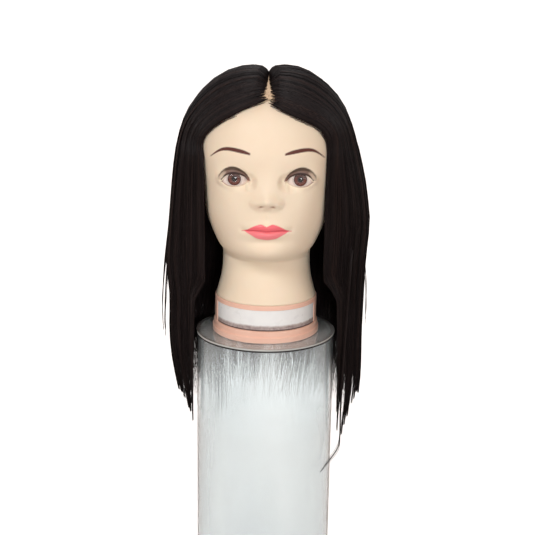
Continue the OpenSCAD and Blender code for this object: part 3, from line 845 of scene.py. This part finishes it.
def drop_loose(points, faces):
    """The same mesh without the points that no face uses."""
    used = np.unique(np.concatenate([f.ravel() for f in faces]))
    fresh = np.full(len(points), -1)
    fresh[used] = np.arange(len(used))
    return points[used], [fresh[f] for f in faces]


def make_skin():
    points, faces = drop_loose(*skin_faces(skin_surface()))
    piece = make_piece("face_and_neck", points, faces, vinyl_look(), "head")
    across, up, front = np.abs(points[:, 0]), points[:, 2] - CHIN_Z, points[:, 1] < 0
    paint = Paint(len(points))
    paint_brow(paint, across, up, front)
    paint_eye(paint, across, points[:, 2], front)
    paint_nostrils(paint, across, up, front)
    lips = paint_mouth(paint, across, up, front)
    set_points(piece, "paint", paint.result())
    set_points(piece, "shine", lips)
    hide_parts("head_skin")


make_skin()


# Lenses: clear caps that stand just clear of the flat front of the eyeballs

EYE_FLAT = 2.2
EYE_TILT = math.radians(1)
LENS_H = 2.4
LENS_GAP = 0.15
LENS_RIM_GAP = 0.05
LENS_RINGS = 10
LENS_TURNS = 40


def lens_points(rim_r):
    """Points of a cap on its own axis: its rings, and then the middles of its front and back."""
    ball_r = (rim_r**2 + LENS_H**2) / (2 * LENS_H)
    angle = np.linspace(0, math.asin(rim_r / ball_r), LENS_RINGS + 1)[1:, None]
    turn = np.linspace(0, 2 * math.pi, LENS_TURNS, endpoint=False)[None, :]
    out = ball_r * np.sin(angle) + 0 * turn
    height = np.maximum(ball_r * (np.cos(angle) - 1) + LENS_H, LENS_GAP) + 0 * turn
    rings = np.stack([out * np.cos(turn), out * np.sin(turn), height], -1).reshape(-1, 3)
    return np.concatenate([rings, [[0, 0, LENS_H], [0, 0, LENS_GAP]]])


def make_lens(side, material):
    node = f"{SIDE_NAMES[side]}_eye_lens"
    points = lens_points((corner(node, 1, 0) - corner(node, 0, 0)) / 2 - LENS_RIM_GAP)
    ahead = np.array([0, -math.cos(EYE_TILT), math.sin(EYE_TILT)])
    upward = np.array([0, math.sin(EYE_TILT), math.cos(EYE_TILT)])
    axes = np.stack([[1, 0, 0], upward, ahead])
    middle = np.array([side * EYE_X, EYE_Y, EYE_Z]) + (EYE_R - EYE_FLAT) * ahead
    number = np.arange(LENS_RINGS * LENS_TURNS).reshape(LENS_RINGS, LENS_TURNS)
    front, back = fan(number[0], number.size), fan(number[-1], number.size + 1)[:, ::-1]
    faces = [loft(number), np.concatenate([front, back])]
    piece = make_piece(f"{SIDE_NAMES[side]}_lens_cap", middle + points @ axes, faces, material, "head")
    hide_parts(node)


def make_lenses():
    material = eye_lens_look()
    for side in (LEFT, RIGHT):
        make_lens(side, material)


make_lenses()


# Hair: fine strands that spring from the part, run over the skull and hang from its widest level.
# Place runs from 0 at the front of the part to 1 at the back, and layer from 0 at the scalp to 1 outside.

LOCKS = ("front", "temple", "side", "rear", "back", "nape")
CURTAIN_T = 12
EDGE_T = 4
EDGE_RUN = 0.25
SCALP_T = 2.5
LEAST_HEIGHT = 5.5
PART_BACK = math.radians(-28)
BOW_END = 0.4
HAIR_DROP = 285
STAND_GAP = 5
SETTLE = 60
TIP_SHARE = 0.15
SPREAD_START = 0.2
CLEAR_START = 80
CLEAR_RUN = 70
LAY_POINTS = 12
HANG_POINTS = 15

# Front edge of the hair on the head's left and right: where it leaves the part, the angle at which it comes
# to the widest level, and how far and how late it bows up on its way
PART_FRONT = {LEFT: math.radians(52.3), RIGHT: math.radians(49)}
EDGE_ANGLE = {LEFT: 42.2, RIGHT: 48.5}
EDGE_BOW = {LEFT: 0.18, RIGHT: 0.158}
BOW_POWERS = {LEFT: (3.6, 1.35), RIGHT: (2.7, 0.55)}

# Height of the lowest hair by place, and share of the full height around the head
FLOOR = ((0, 1.0), (0.04, 3.0), (0.1, 4.5), (1, 4.5))
AROUND = ((50, 0.19), (70, 0.6), (90, 1), (120, 0.94), (150, 0.7), (180, 0.55))

# Full height by share of the way down from the part
HEIGHT = {
    LEFT: (
        (0, 2.5), (0.05, 9.4), (0.1, 12), (0.2, 13.2), (0.3, 13.2), (0.4, 12), (0.5, 11.4), (0.6, 12.2),
        (0.75, 14.3), (0.9, 17), (1, 19.5),
    ),
    RIGHT: (
        (0, 2.5), (0.05, 8), (0.1, 11.2), (0.2, 12.4), (0.3, 12.6), (0.4, 12.4), (0.5, 12.3), (0.6, 13.6),
        (0.75, 16.6), (0.9, 19.2), (1, 21.2),
    ),
}

# Spread of the hanging hair by its drop: outward on both sides, and along Y in front and behind
WIDE = {
    LEFT: (
        (0, 1), (12, 1.034), (28, 1.078), (45, 1.114), (61, 1.139), (75, 1.155), (90, 1.147), (112, 1.134),
        (146, 1.128), (190, 1.127), (245, 1.13), (300, 1.06),
    ),
    RIGHT: (
        (0, 1), (12, 1.02), (36, 1.048), (70, 1.081), (95, 1.108), (120, 1.125), (150, 1.095), (190, 1.1),
        (208, 1.09), (225, 1.069), (243, 1.035), (285, 0.94),
    ),
}
FORE = {
    LEFT: ((0, 1), (50, 0.85), (100, 0.6), (150, 0.38), (285, 0.28)),
    RIGHT: ((0, 1), (50, 0.85), (100, 0.62), (150, 0.44), (285, 0.33)),
}
REAR = ((0, 1), (130, 0.93), (285, 0.88))

# Length below the skull's widest level by place
LENGTHS = {
    LEFT: (
        (0, 220), (0.03, 232), (0.05, 252), (0.083, 280), (0.107, 262), (0.131, 298), (0.155, 258),
        (0.178, 306), (0.202, 294), (0.226, 281), (0.27, 266), (0.33, 257), (0.42, 258), (0.6, 284), (1, 289),
    ),
    RIGHT: (
        (0, 288), (0.036, 280), (0.06, 268), (0.083, 246), (0.107, 228), (0.131, 262), (0.155, 278),
        (0.19, 282), (0.226, 270), (0.27, 262), (0.33, 256), (0.4, 256), (0.5, 268), (0.7, 286), (1, 290),
    ),
}

# Half width of the bare scalp along the part
BARE_HALF = (
    (0, 0.5), (0.012, 9), (0.04, 15), (0.09, 14), (0.15, 8.5), (0.22, 4.8), (0.33, 2.2), (0.48, 0.8),
    (0.63, 0.3), (1, 0.3),
)
ROOT_RUN = 65

# Strands of a lock, and the clumps that they gather in
STRANDS = 640
STRAND_R = 0.3
STRAND_WIDTHS = (0.75, 1.1)
STRAND_SIDES = 3
ROOT_RISE = 0.1
ROOT_START = 0.05
ROOT_SHARES = (0.12, 1.25)
LOW_ROOT = 0.75
LOW_ROOT_POWER = 1.5
TIP_WIDTH = 0.25
TIP_RUN = 0.3
OVERLAP = 0.02
LAYERS_USED = 0.9
LAYER_POWER = 1.4
LAYER_GATHER = 0.7
TONE_SPREAD = 0.16
CLUMPS = 7
CLUMP_COUNT = CLUMPS * len(LOCKS)
CLUMP_LAYERS = (0.35, 0.9)
CLUMP_TONES = (0.25, 0.65)
CLUMP_LIFT = 0.05
CLUMP_SEED = SEED + 100
STRAY = (0.5, 0.5, 0.2)
STRAY_TURNS = (0.8, 2.2)
STRAY_ROOT = 0.15

# Clumps are shaped up to this place, and loose after a short run behind it. For shaped and loose clumps:
# the spread of their lengths, the most that a strand is cut short, its power, and how far strands gather.
SHAPED_END = 0.35
SHAPED_RUN = 0.2
LENGTH_SPREAD = (2, 15)
CUT = (20, 50)
CUT_POWER = (2, 0.8)
GATHER = (0.75, 0.3)

# How far loose tips lean along the places, and how much that varies
LEAN = {LEFT: 0.05, RIGHT: -0.05}
LEAN_SPREAD = 0.05

# Dark mass under the strands: its share of their length, how much that varies, and where it lies
MASS_SHARE = 0.83
MASS_RAGGED = 0.075
MASS_COLUMNS = 22
MASS_MARGIN = 0.005
MASS_LAYERS = (0.62, 0.12)
MASS_END_LAYER = 0.5
MASS_ROOT = 0.03
MASS_ROOT_GAP = 1.5
MASS_TONE = 0.6
MASS_SEED = SEED + 200

# Loose wisps of hair: the number of strands and their path, as x, y and drop
WISPS = {
    LEFT: (
        (12, (
            (86, -25, 100), (83, -22, 170), (80.5, -20, 240), (80, -20, 278), (80.2, -20, 304),
            (78, -26, 313), (71.3, -33, 321), (64.4, -43, 326), (59, -51, 330),
        )),
        (3, ((100, -6, 110), (103.5, -4, 140), (104.5, -3, 168), (104, -3, 186))),
    ),
    RIGHT: (
        (9, ((101, 0, 90), (105.5, 0, 128), (107.2, 0, 150), (107.9, 0, 172), (107.1, 0, 194))),
        (7, ((99, -4, 95), (102.2, -4, 130), (104.3, -4, 161), (104.8, -4, 183), (104.3, -4, 199))),
    ),
}

WISP_SPREAD = (0.5, 0.5, 2)
WISP_CLOSING = 1.2
WISP_STRAY = 0.6
WISP_TONE = 0.6

# Short fine hairs along the front edge, more of them on the head's left: their start and run as shares of
# the way down from the part, how far they lie in front of the edge, and their height at the root and the tip
FRINGE = {LEFT: 70, RIGHT: 30}
FRINGE_STARTS = (0.02, 0.75)
FRINGE_RUNS = (0.1, 0.3)
FRINGE_AHEAD = 0.02
FRINGE_RETURN = 0.8
FRINGE_ROOTS = (0.2, 1.2)
FRINGE_TIPS = (0.8, 2.5)
FRINGE_R = 0.11
FRINGE_TONE = 1.0


def skull_reach(d):
    front = d[..., 1] <= 0
    depth = np.where(front, FACE_D, BACK_D)
    power = np.where(front, FACE_POWER, BACK_POWER)
    sideways, ahead = np.abs(d[..., 0]) / (HEAD_W / 2), np.abs(d[..., 1]) / depth
    level = (sideways**power + ahead**power) ** (1 / power)
    return (level**DOME_POWER + (np.abs(d[..., 2]) / DOME_H) ** DOME_POWER) ** (-1 / DOME_POWER)


def shoulder_angle(side, place):
    return mix(EDGE_ANGLE[side], 180, place)


def bow_shape(side, t):
    """Rises from 0 at the part to 1, and falls to 0 at the widest level."""
    m, n = BOW_POWERS[side]
    peak = m / (m + n)
    t = np.clip(t, 0, 1)
    return (t / peak) ** m * ((1 - t) / (1 - peak)) ** n


def hair_height(side, place, t):
    return np.maximum(LEAST_HEIGHT, curve(HEIGHT[side], t) * curve(AROUND, shoulder_angle(side, place)))


def lay_point(side, place, t, height):
    """Point over the skull, at a share of the way from the part to the widest level."""
    a, b = mix(PART_FRONT[side], PART_BACK, place), np.radians(shoulder_angle(side, place))
    part = np.stack([0 * a, -np.sin(a), np.cos(a)], -1)
    shoulder = np.stack([np.sin(b), -np.cos(b), 0 * b], -1)
    bow = EDGE_BOW[side] * (1 - smooth(place / BOW_END)) * bow_shape(side, t)
    d = unit(mix(part, shoulder, t[..., None]) + bow[..., None] * np.cross(part, shoulder))
    return d * (skull_reach(d) + height)[..., None] + [0, 0, SKULL_Z]


def hang_point(side, place, layer, drop):
    """Point of the hanging hair at a drop below the skull's widest level."""
    ones = np.ones_like(place)
    top = lay_point(side, place, ones, hair_height(side, place, ones))
    x = top[..., 0] * mix(1, curve(WIDE[side], drop), smooth(place / SPREAD_START))
    y = top[..., 1] * np.where(top[..., 1] < 0, curve(FORE[side], drop), curve(REAR, drop))
    start = hair_height(side, place, ones) - curve(FLOOR, place)
    free = mix(EDGE_T, CURTAIN_T, smooth(place / EDGE_RUN))
    share = np.clip(drop / HAIR_DROP, 0, 1)
    thickness = mix(start, free, smooth(drop / SETTLE)) * mix(1, TIP_SHARE, share**2)
    clear = (TOP_R + STAND_GAP + thickness) * smooth((drop - CLEAR_START) / CLEAR_RUN)
    out = np.hypot(x, y)
    scale = (np.maximum(out, clear) - (1 - layer) * thickness) / out
    return np.stack([x * scale, y * scale, top[..., 2] - drop], -1)


def strand_lines(side, place, layer, root, length, end_place, end_layer):
    """Centre lines of strands, as strands by points, on the +X side."""
    step = np.linspace(0, 1, LAY_POINTS)[None, :]
    t = mix(root[:, None], 1, step)
    p = place[:, None] + 0 * t
    full = mix(curve(FLOOR, p), hair_height(side, p, t), layer[:, None])
    rise = smooth((t - root[:, None]) / ROOT_RISE + ROOT_START)
    lay = lay_point(side, p, t, mix(np.minimum(SCALP_T, full), full, rise))
    share = np.linspace(0, 1, HANG_POINTS + 1)[None, 1:]
    p = mix(place[:, None], end_place[:, None], share**2)
    w = mix(layer[:, None], end_layer[:, None], share**2)
    hang = hang_point(side, p, w, share * length[:, None])
    return np.concatenate([lay, hang], 1)


def tubes(lines, radius):
    """Closed tubes along lines, thin at the tip: points and faces."""
    strands, count = lines.shape[:2]
    along = unit(np.gradient(lines, axis=1))
    outward = lines - [0, 0, SKULL_Z]
    outward[..., 2] = np.maximum(outward[..., 2], 0)
    across = unit(np.cross(along, outward))
    upward = np.cross(across, along)
    share = np.linspace(0, 1, count)
    width = radius[:, None] * mix(TIP_WIDTH, 1, smooth((1 - share) / TIP_RUN))[None, :]
    turn = 2 * math.pi / STRAND_SIDES * np.arange(STRAND_SIDES)
    ring = across[:, :, None] * np.cos(turn)[:, None] + upward[:, :, None] * np.sin(turn)[:, None]
    points = lines[:, :, None] + width[..., None, None] * ring
    number = np.arange(strands * count * STRAND_SIDES).reshape(strands, count, STRAND_SIDES)
    ends = np.concatenate([number[:, 0], number[:, -1, ::-1]])
    return points.reshape(-1, 3), [loft(number), ends]


def closing_faces(ring):
    """Faces across a flat ring, whose second half runs back beside its first."""
    step = np.arange(len(ring) // 2 - 1)
    return np.stack([ring[step], ring[step + 1], ring[-2 - step], ring[-1 - step]], -1)


def under_mass(side, lock):
    """Dark mass under the strands of a lock: points and faces of one closed lofted form."""
    chance = np.random.default_rng(MASS_SEED + 10 * lock + side)
    share = np.linspace(MASS_MARGIN, 1 - MASS_MARGIN, MASS_COLUMNS)
    places = (lock + share) / len(LOCKS)
    uneven = chance.uniform(-1, 1, MASS_COLUMNS)
    place = np.r_[places, places[::-1]]
    layer = np.repeat(MASS_LAYERS, MASS_COLUMNS)
    root = np.maximum(MASS_ROOT, (curve(BARE_HALF, place) + MASS_ROOT_GAP) / ROOT_RUN)
    length = (MASS_SHARE + MASS_RAGGED * np.r_[uneven, uneven[::-1]]) * curve(LENGTHS[side], place)
    lines = strand_lines(side, place, layer, root, length, place, MASS_END_LAYER + 0 * place)
    loops = lines.transpose(1, 0, 2)
    number = np.arange(loops[..., 0].size).reshape(loops.shape[:2])
    ends = [closing_faces(number[0]), closing_faces(number[-1])[:, ::-1]]
    return loops.reshape(-1, 3), [np.concatenate([loft(number), *ends])]


def stray(lines, rng, amount):
    """Each strand strays a little, more towards its tip."""
    count = len(lines)
    share = np.linspace(0, 1, lines.shape[1])[None, :, None]
    phase = rng.uniform(0, 2 * math.pi, (count, 1, 3))
    sway = np.sin(phase + 2 * math.pi * share * rng.uniform(*STRAY_TURNS, (count, 1, 1)))
    return lines + sway * STRAY * (STRAY_ROOT + share) * amount


def lock_lines(side, lock, rng):
    """Strands of a lock, drawn together in clumps towards their tips: lines and tones."""
    along = rng.random(STRANDS) * (1 + 2 * OVERLAP) - OVERLAP
    place = np.clip((lock + along) / len(LOCKS), 0, 1)
    layer = 1 - LAYERS_USED * rng.random(STRANDS) ** LAYER_POWER
    bare = curve(BARE_HALF, place) * rng.uniform(*ROOT_SHARES, STRANDS) / ROOT_RUN
    root = np.maximum(bare, LOW_ROOT * (1 - layer) ** LOW_ROOT_POWER * rng.random(STRANDS))
    clump = np.minimum(np.floor(place * CLUMP_COUNT), CLUMP_COUNT - 1).astype(int)
    middle = (clump + 0.5) / CLUMP_COUNT
    loose = smooth((middle - SHAPED_END) / SHAPED_RUN)
    chance = np.random.default_rng(CLUMP_SEED + side)
    longer = chance.normal(0, 1, CLUMP_COUNT)[clump] * mix(*LENGTH_SPREAD, loose)
    clump_layer = chance.uniform(*CLUMP_LAYERS, CLUMP_COUNT)[clump]
    lift = chance.normal(0, CLUMP_LIFT, CLUMP_COUNT)[clump]
    tone = chance.uniform(*CLUMP_TONES, CLUMP_COUNT)[clump] + rng.normal(0, TONE_SPREAD, STRANDS)
    shorter = mix(*CUT, loose) * rng.random(STRANDS) ** mix(*CUT_POWER, loose)
    length = curve(LENGTHS[side], middle) + longer - shorter
    drift = (LEAN[side] + LEAN_SPREAD * rng.normal(0, 1, STRANDS)) * loose
    end_place = mix(place, middle, mix(*GATHER, loose)) + drift
    end_layer = mix(layer, clump_layer, LAYER_GATHER)
    lines = strand_lines(side, place, layer * (1 + lift), root, length, end_place, end_layer)
    return stray(lines, rng, 1), np.clip(tone, 0, 1)


def wisp_lines(strands, path, rng):
    """Strands that follow a path side by side and draw together towards its end."""
    points = np.array(path, float) * [1, 1, -1] + [0, 0, SKULL_Z]
    step = np.linspace(0, len(points) - 1, LAY_POINTS + HANG_POINTS)
    place = np.arange(len(points))
    line = np.stack([curve(list(zip(place, points[:, axis])), step) for axis in range(3)], -1)
    share = np.linspace(0, 1, len(step))[None, :, None]
    offset = rng.normal(0, 1, (strands, 1, 3)) * WISP_SPREAD
    return stray(line[None] + offset * (WISP_CLOSING - share), rng, WISP_STRAY)


def fringe_lines(side, rng):
    """Short hairs that lie on the skin along the front edge of the hair."""
    count = FRINGE[side]
    place = -FRINGE_AHEAD * rng.random(count)
    start = rng.uniform(*FRINGE_STARTS, count)
    run = rng.uniform(*FRINGE_RUNS, count)
    step = np.linspace(0, 1, LAY_POINTS + HANG_POINTS)[None, :]
    t = start[:, None] + run[:, None] * step
    p = place[:, None] * (1 - FRINGE_RETURN * step) + 0 * t
    height = mix(rng.uniform(*FRINGE_ROOTS, (count, 1)), rng.uniform(*FRINGE_TIPS, (count, 1)), step)
    return lay_point(side, p, t, height)


def make_lock(side, lock, rng, material):
    lines, tones = lock_lines(side, lock, rng)
    radii = STRAND_R * rng.uniform(*STRAND_WIDTHS, len(lines))
    if lock == 0:
        extra = [(fringe_lines(side, rng), FRINGE_TONE, FRINGE_R)]
        extra += [(wisp_lines(strands, path, rng), WISP_TONE, STRAND_R) for strands, path in WISPS[side]]
        for more, tone, radius in extra:
            lines = np.concatenate([lines, more])
            tones = np.r_[tones, np.full(len(more), tone)]
            radii = np.r_[radii, np.full(len(more), radius)]
    points, faces = tubes(lines, radii)
    mass_points, mass_faces = under_mass(side, lock)
    faces += [f + len(points) for f in mass_faces]
    tones = np.r_[np.repeat(tones, lines.shape[1] * STRAND_SIDES), np.full(len(mass_points), MASS_TONE)]
    points = np.concatenate([points, mass_points]) * [side, 1, 1]
    if side == RIGHT:
        faces = [f[:, ::-1] for f in faces]
    node = f"hair_{SIDE_NAMES[side]}_{LOCKS[lock]}"
    piece = make_piece(f"{node}_strands", points, faces, material, "head")
    set_points(piece, "tone", tones)
    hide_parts(node)


def make_hair():
    material = hair_look()
    rng = np.random.default_rng(SEED)
    for side in (LEFT, RIGHT):
        for lock in range(len(LOCKS)):
            make_lock(side, lock, rng, material)


make_hair()


# Finish of the frame's own nodes

def finish_nodes():
    pink, white = pink_look(), eye_white_look()
    steel = metal_look("screw_steel", linear(205, 205, 208))
    looks = {
        "stand_tube": tube_look(),
        "stand_top": disc_look(),
        "swivel_post": metal_look("post_metal", linear(192, 194, 198)),
        "post_screw": steel,
        "post_washer": steel,
        "base_screws": steel,
        "base_flange": pink,
        "neck_collar": pink,
        "label_strip": label_look(),
        "neck_plug": wood_look(),
        "socket_tube": moulded_look("socket_plastic", linear(70, 70, 74), linear(88, 88, 92), 0.4),
        "foam_core": moulded_look("foam", linear(226, 206, 150), linear(240, 224, 176), 0.8),
        "scalp_cap": scalp_look(),
    }
    for side in SIDE_NAMES.values():
        looks[f"{side}_eye_white"] = white
        looks[f"{side}_eye_iris"] = iris_look(f"{side}_eye_iris")
    for node, material in looks.items():
        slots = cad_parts[node].data.materials
        slots.clear()
        slots.append(material)


finish_nodes()


# Camera, light and floor

CAMERA_PLACE = (1.3, -1170, 660)
CAMERA_PITCH = 15.05
CAMERA_ROLL = 0.8
FOCAL_PIXELS = 1170
FRAME_PIXELS = 535
SENSOR_WIDTH = 36
HEAD_PLACE = Vector((0, 0, 0.42))
WORLD_LIGHT = (0.36, 0.225, 0.155)
FLOOR_REACH = 40


def make_camera():
    data = bpy.data.cameras.new("camera")
    data.sensor_width = SENSOR_WIDTH
    data.lens = FOCAL_PIXELS / FRAME_PIXELS * SENSOR_WIDTH
    camera = add_object("camera", data)
    tilt = Euler((math.radians(90 - CAMERA_PITCH), 0, 0)).to_matrix().to_4x4()
    roll = Matrix.Rotation(math.radians(CAMERA_ROLL), 4, "Z")
    camera.matrix_world = Matrix.Translation(Vector(CAMERA_PLACE) * MM) @ tilt @ roll
    bpy.context.scene.camera = camera


def make_lamp(name, azimuth, elevation, distance, size, watts):
    """A square lamp that faces the head. Azimuth is from the front towards +X, in degrees."""
    data = bpy.data.lights.new(name, "AREA")
    data.size = size
    data.energy = watts
    lamp = add_object(name, data)
    a, e = math.radians(azimuth), math.radians(elevation)
    away = Vector((math.sin(a) * math.cos(e), -math.cos(a) * math.cos(e), math.sin(e)))
    lamp.location = HEAD_PLACE + distance * away
    lamp.rotation_euler = away.to_track_quat("Z", "Y").to_euler()


def make_world():
    """White where it is seen, also in and through the part, and warm and dim as a light."""
    world = bpy.data.worlds.new("world")
    bpy.context.scene.world = world
    world.use_nodes = True
    nodes = Nodes(world.node_tree)
    white = nodes.any_ray("Is Camera Ray", "Is Glossy Ray", "Is Transmission Ray")
    colour = nodes.ramp(white, (0, WORLD_LIGHT), (1, (1, 1, 1)))
    nodes.feed(nodes.tree.nodes["Background"].inputs["Color"], colour)


def floor_look():
    """Pale floor that turns white away from the stand, as seen by the camera."""
    look = Look("floor", Base_Color=(0.6, 0.6, 0.6, 1), Roughness=0.9, Emission_Color=(1, 1, 1, 1))
    lift = look.range(look.length(look.place()), 0.1, 1.5, 0.84, 1.0)
    white = look.any_ray("Is Camera Ray", "Is Transmission Ray")
    look.set("Emission Strength", look.maths("MULTIPLY", white, lift))
    return look.material


def make_floor():
    mesh = bpy.data.meshes.new("floor")
    corners = [(x * FLOOR_REACH, y * FLOOR_REACH, 0) for x, y in ((-1, -1), (1, -1), (1, 1), (-1, 1))]
    mesh.from_pydata(corners, [], [(0, 1, 2, 3)])
    mesh.materials.append(floor_look())
    floor = add_object("floor", mesh)


make_camera()
make_world()
make_floor()
make_lamp("key", azimuth=-28, elevation=31, distance=1.95, size=0.55, watts=13.4)
make_lamp("fill", azimuth=24, elevation=20, distance=2.0, size=1.6, watts=6.5)
make_lamp("front", azimuth=9, elevation=3, distance=1.5, size=0.28, watts=4)
make_lamp("top", azimuth=170, elevation=68, distance=1.6, size=1.0, watts=6)
bpy.context.scene.view_settings.view_transform = "Standard"
